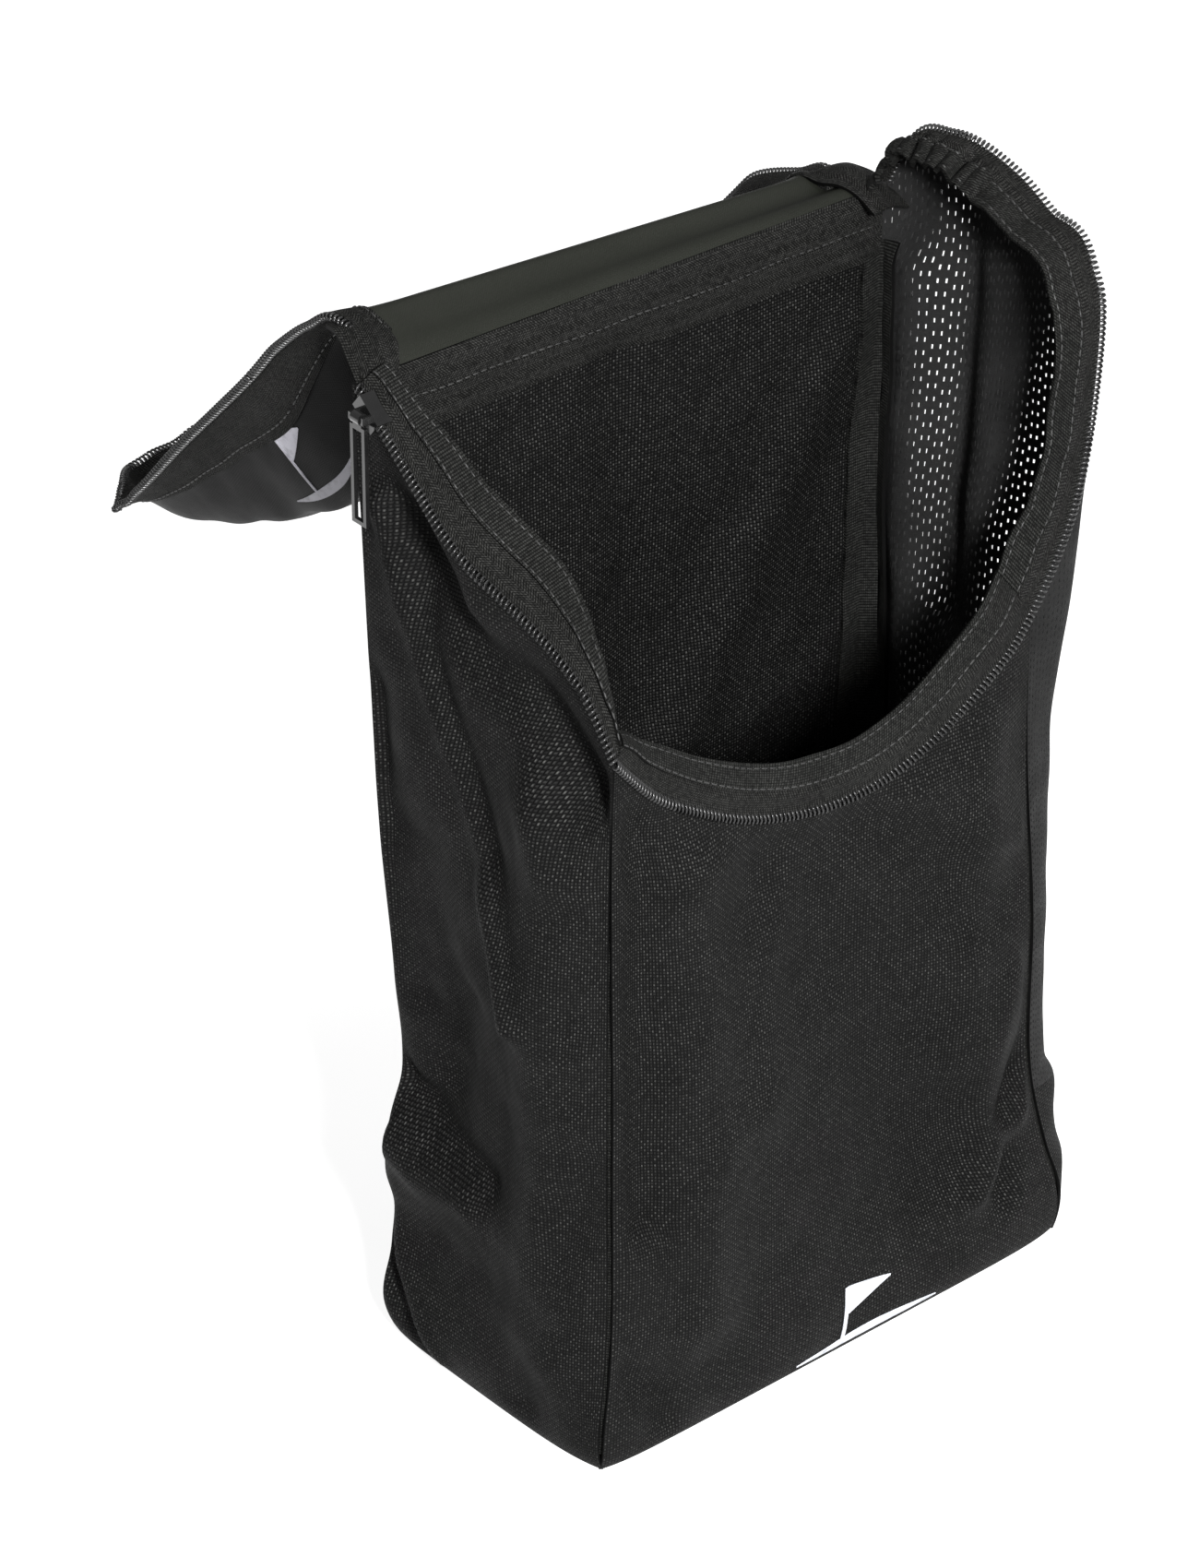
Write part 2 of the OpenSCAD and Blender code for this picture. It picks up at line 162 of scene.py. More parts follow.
# Folds in the cloth: a line of (place along the wall, height), its height and its width
LEFT_FOLDS = [
    ([(-30, 240), (-31, 150), (-30, 40)], 5.5, 17),
    ([(28, 200), (26, 150), (24, 110)], -2.6, 14),
    ([(44, 318), (33, 286), (20, 257), (-6, 203), (-22, 165)], 3.4, 5.5),
    ([(34, 305), (27, 279), (14, 250), (-2, 215)], -4.0, 9),
    ([(30, 318), (8, 292), (-22, 276), (-44, 258)], -5.5, 11),
    ([(2, 300), (-25, 262), (-38, 225)], 2.4, 9),
    ([(56, 104), (30, 92), (0, 88)], -3.0, 7),
    ([(56, 84), (32, 74), (8, 76)], 2.6, 8),
    ([(58, 52), (48, 30), (30, 6)], -4.2, 6),
    ([(52, 46), (38, 20), (22, 4)], 2.8, 5),
    ([(10, 150), (20, 120), (34, 100)], -1.8, 9),
    ([(-48, 120), (-30, 60), (-20, 14)], -1.6, 8),
    ([(50, 250), (44, 190), (40, 140)], -2.0, 9),
]
FRONT_FOLDS = [
    ([(-66, 215), (-64, 150), (-60, 50)], 3.8, 17),
    ([(52, 210), (56, 150), (52, 100)], 2.6, 14),
    ([(-87, 250), (-85, 170), (-84, 95)], -2.6, 7),
    ([(-24, 200), (10, 140), (37, 64)], -4.2, 26),
    ([(0, 212), (28, 186), (60, 150)], -2.2, 12),
    ([(20, 214), (48, 190), (74, 176)], 1.8, 9),
    ([(92, 82), (76, 58), (60, 38)], 3.4, 7),
    ([(84, 96), (74, 66), (75, 30)], -2.8, 6),
    ([(70, 120), (62, 84), (64, 60)], 2.0, 8),
    ([(-96, 40), (-80, 22), (-74, 4)], -2.0, 7),
    ([(-20, 208), (-34, 170), (-38, 120)], 1.8, 11),
    ([(-50, 110), (-20, 60), (-10, 20)], 1.4, 18),
]
RIGHT_FOLDS = [
    ([(-30, 340), (-20, 280), (-10, 200), (-4, 130)], 3.5, 9),
    ([(22, 372), (20, 300), (14, 220)], 3.0, 9),
    ([(40, 330), (38, 240), (30, 160)], -2.5, 9),
    ([(-30, 120), (0, 90), (30, 70)], -3.0, 10),
    ([(-40, 60), (-10, 40), (20, 36)], 2.2, 9),
]
BACK_FOLDS = [
    ([(80, 300), (50, 240), (20, 180)], -2.4, 12),
    ([(-90, 280), (-50, 200), (-30, 120)], -2.6, 14),
    ([(-100, 60), (-60, 40), (-30, 8)], -2.4, 9),
    ([(90, 110), (50, 80), (30, 20)], 2.4, 10),
    ([(-10, 330), (-4, 260), (4, 190)], 2.0, 12),
]

# Each wall runs from corner line a to corner line b; its folds are placed along x (0) or y (1).
SIDES = {
    "left": dict(a=BACK_LEFT, b=FRONT_LEFT, lip=LEFT_LIP, bulge=bulge_left, folds=LEFT_FOLDS,
                 along=1, seed=11),
    "front": dict(a=FRONT_LEFT, b=FRONT_RIGHT, lip=FRONT_LIP, bulge=bulge_front, folds=FRONT_FOLDS,
                  along=0, seed=22),
    "right": dict(a=FRONT_RIGHT, b=BACK_RIGHT, lip=RIGHT_LIP, bulge=bulge_right, folds=RIGHT_FOLDS,
                  along=1, seed=33),
    "back": dict(a=BACK_RIGHT, b=BACK_LEFT, lip=BACK_LIP, bulge=bulge_back, folds=BACK_FOLDS,
                 along=0, seed=44),
}


def base_line(side, u, z):
    """A wall's points in plan before its folds are added, and the way out from it."""
    a, b = side["a"](z), side["b"](z)
    way = b - a
    long = np.linalg.norm(way, axis=-1)
    out = np.stack([way[..., 1], -way[..., 0]], -1) / long[..., None]
    bulge = side["bulge"](u, z, u * long, (1 - u) * long) - 2.2 * np.exp(-z / 3.5)
    return a + way * u[..., None] + out * bulge[..., None], out


def wall(name, u, v):
    """Points on a wall: u runs round the bag as seen from outside, v from the base to the lip."""
    side = SIDES[name]
    u, v = np.broadcast_arrays(np.asarray(u, float), np.asarray(v, float))
    top = side["lip"](u)
    z = v * top[..., 2]
    flat, out = base_line(side, u, z)
    reach, _ = base_line(side, u, top[..., 2])
    flat = flat + (top[..., :2] - reach) * ease((v - 0.5) / 0.5)[..., None]
    a = flat[..., side["along"]]
    lift = FOLD_DEPTH * sum(crease(a, z, *fold) for fold in side["folds"])
    lift = lift + SWELL * ripple(a, z, 95, side["seed"]) + RUFFLE * ripple(a, z, 34, side["seed"] + 1)
    still = ease((1 - v) / 0.07) * ease(z / 12) * ease(u / 0.04) * ease((1 - u) / 0.04)
    flat = flat + out * (lift * still)[..., None]
    return np.concatenate([flat, z[..., None]], -1)


# ---------------------------------------------------------------- mesh building

def finish_mesh(name, verts, faces, uvs, mats, mat_index=None, smooth=True, sharp=50):
    data = bpy.data.meshes.new(name)
    data.from_pydata((np.asarray(verts) * MM).tolist(), [], faces)
    for m in mats:
        data.materials.append(m)
    if mat_index is not None:
        data.polygons.foreach_set("material_index", np.asarray(mat_index, np.int32))
    if uvs is not None:
        layer = data.uv_layers.new(name="cloth")
        loops = np.zeros(len(data.loops), np.int32)
        data.loops.foreach_get("vertex_index", loops)
        layer.data.foreach_set("uv", np.asarray(uvs, np.float32)[loops].ravel())
    data.polygons.foreach_set("use_smooth", np.full(len(data.polygons), smooth))
    if smooth and sharp:
        data.set_sharp_from_angle(angle=math.radians(sharp))
    data.validate()
    obj = bpy.data.objects.new(name, data)
    bpy.context.scene.collection.objects.link(obj)
    return obj


def grid_normals(p):
    across, up = np.gradient(p, axis=1), np.gradient(p, axis=0)
    return unit(np.cross(across, up))


def grid_faces(rows, cols, start=0, flip=False):
    i = np.arange(rows - 1)[:, None] * cols + np.arange(cols - 1)[None, :] + start
    quads = np.stack([i, i + 1, i + 1 + cols, i + cols], -1).reshape(-1, 4)
    return quads[:, ::-1] if flip else quads


def shell(name, p, uv, mats, thick=CLOTH_T, out=0.5, rim_mat=0, lift=0.0):
    """A closed sheet of cloth from a grid of points; out is the share of its thickness outside the grid."""
    rows, cols = p.shape[:2]
    n = grid_normals(p)
    p = p + n * lift
    thick = np.broadcast_to(np.asarray(thick, float), p.shape[:2])[..., None]
    verts = np.concatenate([(p + n * thick * out).reshape(-1, 3), (p - n * thick * (1 - out)).reshape(-1, 3)])
    size = rows * cols
    faces = [grid_faces(rows, cols), grid_faces(rows, cols, size, flip=True)]
    edge = np.concatenate([np.arange(cols), np.arange(1, rows) * cols + cols - 1,
                           (rows - 1) * cols + np.arange(cols - 2, -1, -1),
                           np.arange(rows - 2, 0, -1) * cols])
    nxt = np.roll(edge, -1)
    faces.append(np.stack([edge, edge + size, nxt + size, nxt], -1))
    index = np.concatenate([np.full(len(f), m) for f, m in zip(faces, (0, min(1, len(mats) - 1), rim_mat))])
    uvs = np.concatenate([uv.reshape(-1, 2)] * 2)
    return finish_mesh(name, verts, np.concatenate(faces).tolist(), uvs, mats, index)


def lengths(p, axis):
    """Running length along one axis of a grid of points."""
    step = np.linalg.norm(np.diff(p, axis=axis), axis=-1)
    start = np.zeros_like(np.take(step, [0], axis=axis))
    return np.cumsum(np.concatenate([start, step], axis=axis), axis=axis)


def strip_uv(p):
    return np.stack([lengths(p, 1), lengths(p, 0)], -1)


def tube_rings(path, radius, seg=8):
    """Rings of points round a path, which may have its own radius at each point."""
    path = np.asarray(path, float)
    way = unit(np.gradient(path, axis=0))
    ref = np.where(np.abs(way[:, 2:3]) > 0.9, [[1.0, 0, 0]], [[0, 0, 1.0]])
    side = unit(np.cross(way, ref))
    rise = np.cross(side, way)
    turn = np.arange(seg) * TAU / seg
    radius = np.broadcast_to(np.asarray(radius, float), len(path))[:, None, None]
    across, up = np.cos(turn)[None, :, None], np.sin(turn)[None, :, None]
    return path[:, None] + radius * (across * side[:, None] + up * rise[:, None])


def tubes(name, rings_list, mats, sharp=0):
    """Closed tubes from lists of rings, as one mesh."""
    verts, faces, start = [], [], 0
    for rings in rings_list:
        count, seg = rings.shape[:2]
        verts.append(rings.reshape(-1, 3))
        i = np.arange(count - 1)[:, None] * seg
        j = np.arange(seg)[None, :]
        k = (j + 1) % seg
        faces += (np.stack([i + j, i + k, i + seg + k, i + seg + j], -1).reshape(-1, 4) + start).tolist()
        faces.append((start + np.arange(seg)[::-1]).tolist())
        faces.append((start + (count - 1) * seg + np.arange(seg)).tolist())
        start += count * seg
    verts = np.concatenate(verts)
    return finish_mesh(name, verts, faces, verts[:, :2] + verts[:, 2:], mats, sharp=sharp)


def even(path, step):
    """The path's points again, at even steps."""
    path = np.asarray(path, float)
    run = np.concatenate([[0], np.cumsum(np.linalg.norm(np.diff(path, axis=0), axis=1))])
    at = np.linspace(0, run[-1], max(2, int(round(run[-1] / step)) + 1))
    return np.stack([np.interp(at, run, path[:, k]) for k in range(path.shape[1])], -1)


COIL_PITCH, COIL_WIDE, COIL_HIGH, COIL_WIRE = 1.75, 1.5, 1.0, 0.46
TURN_STEPS = 10


def coil(name, path, side, mats):
    """A nylon zip coil: one wire wound along the path; side points across the tape."""
    both = even(np.concatenate([path, side], 1), COIL_PITCH / TURN_STEPS)
    path, side = both[:, :3], both[:, 3:]
    way = unit(np.gradient(path, axis=0))
    side = unit(side - way * (side * way).sum(1, keepdims=True))
    rise = np.cross(way, side)
    turn = np.arange(len(path)) * TAU / TURN_STEPS
    wound = path + COIL_WIDE * np.cos(turn)[:, None] * side + COIL_HIGH * np.sin(turn)[:, None] * rise
    return tubes(name, [tube_rings(wound, COIL_WIRE, 5)], mats)


def stitches(name, path, mats, pitch=3.2, long=2.3, thick=0.34):
    """A row of sewn stitches along a path on a cloth's surface."""
    fine = 0.4
    path = even(path, fine)
    step = max(2, int(round(pitch / fine)))
    run = max(3, int(round(long / fine)) + 1)
    shape = np.sin(np.linspace(0.12, math.pi - 0.12, run)) ** 0.5
    rows = [tube_rings(path[i:i + run], thick * shape, 5) for i in range(0, len(path) - run, step)]
    return tubes(name, rows, mats)


# ---------------------------------------------------------------- materials

class Finish:
    """A procedural material built a node at a time."""

    def __init__(self, name, **values):
        self.mat = bpy.data.materials.new(name)
        self.mat.use_nodes = True
        self.tree = self.mat.node_tree
        self.shader = self.tree.nodes["Principled BSDF"]
        for socket, value in values.items():
            self.shader.inputs[socket.replace("_", " ")].default_value = value

    def add(self, kind, inputs=(), **props):
        node = self.tree.nodes.new(kind)
        for key, value in props.items():
            setattr(node, key, value)
        for key, value in dict(inputs).items():
            if isinstance(value, bpy.types.NodeSocket):
                self.tree.links.new(value, node.inputs[key])
            else:
                node.inputs[key].default_value = value
        return node

    def math(self, op, a, b=0.0):
        return self.add("ShaderNodeMath", {0: a, 1: b}, operation=op).outputs[0]

    def cloth_xy(self):
        uv = self.add("ShaderNodeUVMap", uv_map="cloth").outputs[0]
        split = self.add("ShaderNodeSeparateXYZ", {0: uv})
        return split.outputs[0], split.outputs[1]

    def noise(self, scale, detail=3.0, rough=0.55):
        place = self.add("ShaderNodeTexCoord").outputs["Object"]
        return self.add("ShaderNodeTexNoise", {"Vector": place, "Scale": scale, "Detail": detail,
                                               "Roughness": rough}).outputs[0]

    def remap(self, value, low, high, to_low, to_high):
        return self.add("ShaderNodeMapRange", {0: value, 1: low, 2: high, 3: to_low, 4: to_high}).outputs[0]

    def ramp(self, value, stops):
        node = self.add("ShaderNodeValToRGB", {0: value})
        for _ in range(len(stops) - 2):
            node.color_ramp.elements.new(0.5)
        for element, (place, colour) in zip(node.color_ramp.elements, stops):
            element.position = place
            element.color = (*colour, 1)
        return node.outputs[0]

    def scale_colour(self, colour, factor):
        node = self.add("ShaderNodeVectorMath", operation="SCALE")
        self.tree.links.new(colour, node.inputs[0])
        self.tree.links.new(factor, node.inputs["Scale"])
        return node.outputs[0]

    def set(self, **links):
        for socket, value in links.items():
            self.tree.links.new(value, self.shader.inputs[socket.replace("_", " ")])

    def bump(self, height, distance, strength=1.0):
        node = self.add("ShaderNodeBump", {"Height": height, "Distance": distance * MM, "Strength": strength})
        self.set(Normal=node.outputs[0])


def woven(name, dark, light, pitch=THREAD, rough=0.72):
    f = Finish(name, Roughness=rough, Specular_IOR_Level=0.1)
    x, y = f.cloth_xy()
    sx = f.math("SINE", f.math("MULTIPLY", x, math.pi / pitch))
    sy = f.math("SINE", f.math("MULTIPLY", y, math.pi / pitch))
    ax, ay = f.math("ABSOLUTE", sx), f.math("ABSOLUTE", sy)
    warp = f.math("MULTIPLY", ax, f.math("POWER", ay, 0.35))
    weft = f.math("MULTIPLY", ay, f.math("POWER", ax, 0.35))
    over = f.math("GREATER_THAN", f.math("MULTIPLY", sx, sy), 0.0)
    height = f.math("ADD", f.math("MULTIPLY", over, warp),
                    f.math("MULTIPLY", f.math("SUBTRACT", 1.0, over), f.math("MULTIPLY", weft, 0.8)))
    cell = f.add("ShaderNodeCombineXYZ", {0: f.math("FLOOR", f.math("DIVIDE", x, pitch)),
                                          1: f.math("FLOOR", f.math("DIVIDE", y, pitch))}).outputs[0]
    chance = f.add("ShaderNodeTexWhiteNoise", {"Vector": cell}, noise_dimensions="2D").outputs[0]
    glint = f.math("MULTIPLY", f.math("POWER", height, 4.0), f.remap(chance, 0, 1, 0.25, 1.25))
    middle = tuple((d * 2 + l) / 3 for d, l in zip(dark, light))
    colour = f.ramp(glint, [(0.0, dark), (0.45, middle), (1.0, light)])
    f.set(Base_Color=f.scale_colour(colour, f.remap(f.noise(16), 0.3, 0.7, 0.82, 1.15)),
          Roughness=f.remap(f.noise(60), 0.3, 0.7, rough - 0.1, rough + 0.08))
    f.bump(height, 0.28, 0.9)
    return f.mat


def ribbed(name, dark, light, herringbone=True, pitch=1.05):
    f = Finish(name, Roughness=0.7, Specular_IOR_Level=0.1)
    x, y = f.cloth_xy()
    if herringbone:
        fold = f.math("PINGPONG", y, 2.6)
        slope = f.math("ADD", x, fold)
    else:
        slope = x
    rib = f.math("ABSOLUTE", f.math("SINE", f.math("MULTIPLY", slope, math.pi / pitch)))
    cross = f.math("ABSOLUTE", f.math("SINE", f.math("MULTIPLY", y, math.pi / 0.75)))
    height = f.math("MULTIPLY", rib, f.math("POWER", cross, 0.4))
    fleck = f.remap(f.noise(900, 1.0), 0.35, 0.7, 0.3, 1.2)
    colour = f.ramp(f.math("MULTIPLY", f.math("POWER", height, 1.5), fleck), [(0.0, dark), (1.0, light)])
    f.set(Base_Color=f.scale_colour(colour, f.remap(f.noise(30), 0.3, 0.7, 0.85, 1.12)),
          Roughness=f.remap(f.noise(80), 0.3, 0.7, 0.62, 0.78))
    f.bump(height, 0.3, 0.9)
    return f.mat


def coated(name, low, high, rough, level=0.3, fine=0.12):
    """Smooth coated cloth: a faint weave pressed through the film, with scuffs."""
    f = Finish(name, Roughness=rough, Specular_IOR_Level=level)
    x, y = f.cloth_xy()
    sx = f.math("SINE", f.math("MULTIPLY", x, TAU / 0.9))
    sy = f.math("SINE", f.math("MULTIPLY", y, TAU / 0.9))
    height = f.math("ADD", f.math("MULTIPLY", f.math("MULTIPLY", sx, sy), 0.5),
                    f.math("MULTIPLY", f.noise(120), 1.5))
    f.set(Base_Color=f.ramp(f.noise(22, 4.0), [(0.3, low), (0.72, high)]),
          Roughness=f.remap(f.noise(45, 4.0), 0.3, 0.7, rough - 0.07, rough + 0.1))
    f.bump(height, fine, 0.5)
    return f.mat


def knitted(name):
    """Spacer knit: fine ribs of yarn round the holes."""
    f = Finish(name, Roughness=0.6, Specular_IOR_Level=0.12)
    x, y = f.cloth_xy()
    loop = f.math("ABSOLUTE", f.math("SINE", f.math("MULTIPLY", y, math.pi / 0.55)))
    wale = f.math("ABSOLUTE", f.math("SINE", f.math("MULTIPLY", x, math.pi / 0.5)))
    height = f.math("MULTIPLY", f.math("POWER", loop, 0.5), f.math("POWER", wale, 0.5))
    f.set(Base_Color=f.scale_colour(f.ramp(height, [(0.0, (0.002, 0.002, 0.002)), (1.0, (0.03, 0.03, 0.03))]),
                                    f.remap(f.noise(30), 0.3, 0.7, 0.8, 1.2)),
          Roughness=f.remap(f.noise(70), 0.3, 0.7, 0.5, 0.7))
    f.bump(height, 0.2, 0.8)
    return f.mat


def glossy(name, low, high, rough, grain=300, depth=0.03, **more):
    f = Finish(name, Roughness=rough, **more)
    f.set(Base_Color=f.ramp(f.noise(grain / 4, 3.0), [(0.35, low), (0.7, high)]),
          Roughness=f.remap(f.noise(grain, 3.0), 0.3, 0.7, rough * 0.75, rough * 1.35))
    f.bump(f.noise(grain, 3.0), depth, 0.4)
    return f.mat


def printed(name, low, high, rough=0.45):
    """Screen print that lets the weave show through as small breaks."""
    f = Finish(name, Roughness=rough)
    x, y = f.cloth_xy()
    sx = f.math("SINE", f.math("MULTIPLY", x, TAU / THREAD))
    sy = f.math("SINE", f.math("MULTIPLY", y, TAU / THREAD))
    height = f.math("ADD", f.math("MULTIPLY", f.math("MULTIPLY", sx, sy), 0.5), 0.5)
    worn = f.math("MULTIPLY", f.noise(260, 3.0), f.remap(height, 0, 1, 0.85, 1.1))
    f.set(Base_Color=f.ramp(worn, [(0.28, low), (0.5, high)]),
          Roughness=f.remap(f.noise(90), 0.3, 0.7, rough - 0.08, rough + 0.12))
    f.bump(height, 0.08, 0.6)
    return f.mat


WOVEN = woven("woven", (0.0004, 0.0004, 0.0004), (0.060, 0.060, 0.0573))
TAPE = ribbed("tape", (0.0008, 0.0008, 0.0007), (0.033, 0.033, 0.031))
BINDING = ribbed("binding", (0.0008, 0.0008, 0.0007), (0.028, 0.0285, 0.0265), herringbone=False)
OLIVE = coated("coated_inner", (0.0105, 0.0114, 0.0088), (0.0143, 0.0153, 0.0122), 0.5, 0.12)
GLOSS = coated("coated_outer", (0.0020, 0.0020, 0.0021), (0.0042, 0.0042, 0.0042), 0.46, 0.06)
KNIT = knitted("knit")
NYLON = glossy("nylon_coil", (0.008, 0.008, 0.008), (0.018, 0.018, 0.018), 0.3)
THREAD_MAT = glossy("sewing_thread", (0.010, 0.010, 0.010), (0.026, 0.026, 0.025), 0.5)
ENAMEL = glossy("enamel", (0.006, 0.006, 0.006), (0.010, 0.010, 0.010), 0.16, Coat_Weight=0.6,
                Coat_Roughness=0.08)
WHITE = printed("white_print", (0.55, 0.57, 0.62), (0.80, 0.82, 0.88))
GREY = printed("grey_print", (0.36, 0.35, 0.40), (0.62, 0.61, 0.68))


# ---------------------------------------------------------------- how each piece moves

def on_body(obj, body, nodes=()):
    """A piece that rides one body, and the CAD nodes it stands for."""
    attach(obj, body)
    if nodes:
        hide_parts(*nodes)
    return obj


def between(obj, nodes=()):
    """A piece fixed where it is built, and the CAD nodes it stands for."""
    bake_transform(obj)
    if nodes:
        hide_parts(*nodes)
    return obj


def with_left_corner(obj, slot, nodes=()):
    return between(obj, nodes)


def with_right_lip(obj, slot, nodes=()):
    return between(obj, nodes)


# ---------------------------------------------------------------- walls and base

def panel(name, side, cols, rows):
    """A whole woven wall of the bag."""
    u, v = np.meshgrid(np.linspace(0, 1, cols + 1), np.linspace(0, 1, rows + 1))
    p = wall(side, u, v)
    uv = np.stack([lengths(p, 1)[len(p) // 2][None].repeat(len(p), 0), p[..., 2]], -1)
    return shell(name, p, uv, [WOVEN])


def right_seam(u):
    """Share of the right wall's height where the mesh starts."""
    return (66 - 50 * u) / RIGHT_LIP(u)[..., 2]


def right_columns(count):
    """Columns of the right wall, closer together where its lip climbs the front corner."""
    t = np.linspace(0, 1, count + 1)
    return t * (0.35 + 0.65 * t ** 0.6)


def build_walls():
    front = panel("front_cloth", "front", 110, 125)
    with_left_corner(front, "woven_fabric", ["front_panel"])
    left = panel("left_cloth", "left", 72, 160)
    with_left_corner(left, "woven_fabric", ["left_side_panel"])
    back = panel("back_cloth", "back", 100, 130)
    on_body(back, "bag_body", ["back_panel"])
    u, v = np.meshgrid(right_columns(60), np.linspace(0, 1, 30))
    p = wall("right", u, v * (right_seam(u) + 0.012))
    lower = shell("right_lower_cloth", p, np.stack([lengths(p, 1), p[..., 2]], -1), [WOVEN])
    on_body(lower, "bag_body", ["right_lower_panel"])


SLOT_W, SLOT_H, CELL_H = 0.55, 1.9, 4.4


def build_mesh_wall():
    """The knitted side: a grid of cells, each with a slot, in pairs that step by half a cell."""
    cols, rows = 74, 76
    half = np.arange(2 * rows + 1)
    line_u = right_columns(cols)
    u, h = np.meshgrid(line_u, half / (2 * rows))

    def place(u, h):
        low = right_seam(u)
        return wall("right", u, low + (1 - low) * h)

    line = place(u, h)
    step_u = np.diff(line_u)
    verts, faces, uvs = [line.reshape(-1, 3)], [], []
    width = cols + 1
    mid_len = lengths(line, 1)
    uvs.append(np.stack([mid_len, line[..., 2]], -1).reshape(-1, 2))
    start = line.size // 3
    for c in range(cols):
        wide = np.linalg.norm(line[rows, c + 1] - line[rows, c])
        share = min(0.5 * SLOT_W / wide, 0.36)
        uc = line_u[c] + step_u[c] * np.array([0.5 - share, 0.5 + share])
        shift = (c // 2) % 2
        low_h = np.arange(shift, 2 * rows - 1, 2)
        mid = (low_h + 1) / (2 * rows)
        reach = 0.5 * SLOT_H / (CELL_H * rows)
        hs = np.stack([mid - reach, mid + reach], 1)
        uu = np.broadcast_to(uc[None, None, :], (len(low_h), 2, 2))
        hh = np.broadcast_to(hs[:, :, None], (len(low_h), 2, 2))
        verts.append(place(uu, hh).reshape(-1, 3))
        along = mid_len[rows, c] + wide * (uu - line_u[c]) / step_u[c]
        uvs.append(np.stack([along, hh * 300], -1).reshape(-1, 2))
        for k, b in enumerate(low_h):
            a = b * width + c
            s = start + 4 * k
            left = [a, a + width, a + 2 * width]
            right = [a + 1, a + 1 + width, a + 1 + 2 * width]
            faces += [[left[0], right[0], s + 1, s], [right[0], right[1], right[2], s + 3, s + 1],
                      [right[2], left[2], s + 2, s + 3], [left[2], left[1], left[0], s, s + 2]]
        ends = [(0, 1), (2 * rows - 1, 2 * rows)] if shift else []
        for b, t in ends:
            faces.append([b * width + c, b * width + c + 1, t * width + c + 1, t * width + c])
        start += 4 * len(low_h)
    verts, uvs = np.concatenate(verts), np.concatenate(uvs)
    flat = finish_mesh("mesh_cloth", verts, faces, uvs, [KNIT], sharp=0)
    thick = flat.modifiers.new("thick", "SOLIDIFY")
    thick.thickness, thick.offset = 0.0011, 0.0
    deps = bpy.context.evaluated_depsgraph_get()
    solid = bpy.data.meshes.new_from_object(flat.evaluated_get(deps))
    flat.modifiers.clear()
    flat.data = solid
    solid.set_sharp_from_angle(angle=math.radians(50))
    with_right_lip(flat, "spacer_mesh", ["right_mesh_panel"])


def build_bottom():
    """The base cloth: rows from the front edge to the back edge, a little uneven between them."""
    t = np.linspace(0, 1, 91)
    near, far = wall("front", t, 0.0), wall("back", t[::-1], 0.0)
    s = np.linspace(0, 1, 61)[:, None, None]
    p = far[None] * (1 - s) + near[None] * s
    p[..., 2] = 1.3 + 0.8 * (1 + ripple(p[..., 0], p[..., 1], 70, 5)) * np.minimum(
        1, 4 * np.sin(math.pi * s[..., 0]) * np.sin(math.pi * t)[None])
    base = shell("base_cloth", p, p[..., :2].copy(), [WOVEN], thick=1.2)
    on_body(base, "bag_body", ["bottom_panel"])


# ---------------------------------------------------------------- seams inside the bag

def at_height(name, u, z):
    return wall(name, u, np.asarray(z, float) / SIDES[name]["lip"](u)[..., 2])


def build_corner_binding(name, node, first, second, top, wing=8.0):
    """Tape over the upright seam between two walls, on the inside."""
    z = np.linspace(6, top, 90)[:, None]
    far = np.array([1.0, 0.72, 0.42, 0.16])[None] * wing
    long = 110.0 if first in ("left", "right") else 185.0
    other = 110.0 if second in ("left", "right") else 185.0
    p = np.concatenate([at_height(first, 1 - far / long + 0 * z, z + 0 * far),
                        at_height(second, far[:, ::-1] / other + 0 * z, z + 0 * far)], 1)
    p = p + 0.25 * ripple(z, 0 * z, 26, 71)[..., None]
    obj = shell(name, p, strip_uv(p)[..., ::-1].copy(), [BINDING], thick=1.3, out=0.0, lift=-0.7)
    return on_body(obj, "bag_body", [node])


def build_bindings():
    build_corner_binding("front_left_binding", "front_left_seam_binding", "left", "front", 246)
    build_corner_binding("front_right_binding", "front_right_seam_binding", "front", "right", 236)
    build_corner_binding("back_right_binding", "back_right_seam_binding", "right", "back", 338)
    build_corner_binding("back_left_binding", "back_left_seam_binding", "back", "left", 338)
    t = np.linspace(0, 1, 61)
    rows = []
    for z in (9.0, 6.0, 3.4):
        rows.append(np.concatenate([at_height(side, t[:-1], np.full(60, z))
                                    for side in ("front", "right", "back", "left")]))
    inner = rows[-1] * [0.985, 0.97, 1] - [0, 0, 0.6]
    rows = np.stack([*rows, inner, rows[-1] * [0.93, 0.87, 1] - [0, 0, 0.7]])[::-1]
    rows = np.concatenate([rows, rows[:, :1]], 1)
    rows = rows * [0.982, 0.966, 1]
    obj = shell("base_binding", rows, strip_uv(rows), [BINDING], thick=1.2)
    on_body(obj, "bag_body", ["bottom_seam_binding"])
    u, h = np.meshgrid(right_columns(70)[2:-2], np.linspace(-6, 6, 7))
    p = at_height("right", u, right_seam(u) * RIGHT_LIP(u)[..., 2] + h)
    obj = shell("mesh_seam_tape", p, strip_uv(p), [BINDING], thick=1.1, out=0.0, lift=-0.9)
    on_body(obj, "bag_body", ["mesh_seam_binding"])


# ---------------------------------------------------------------- zip round the mouth

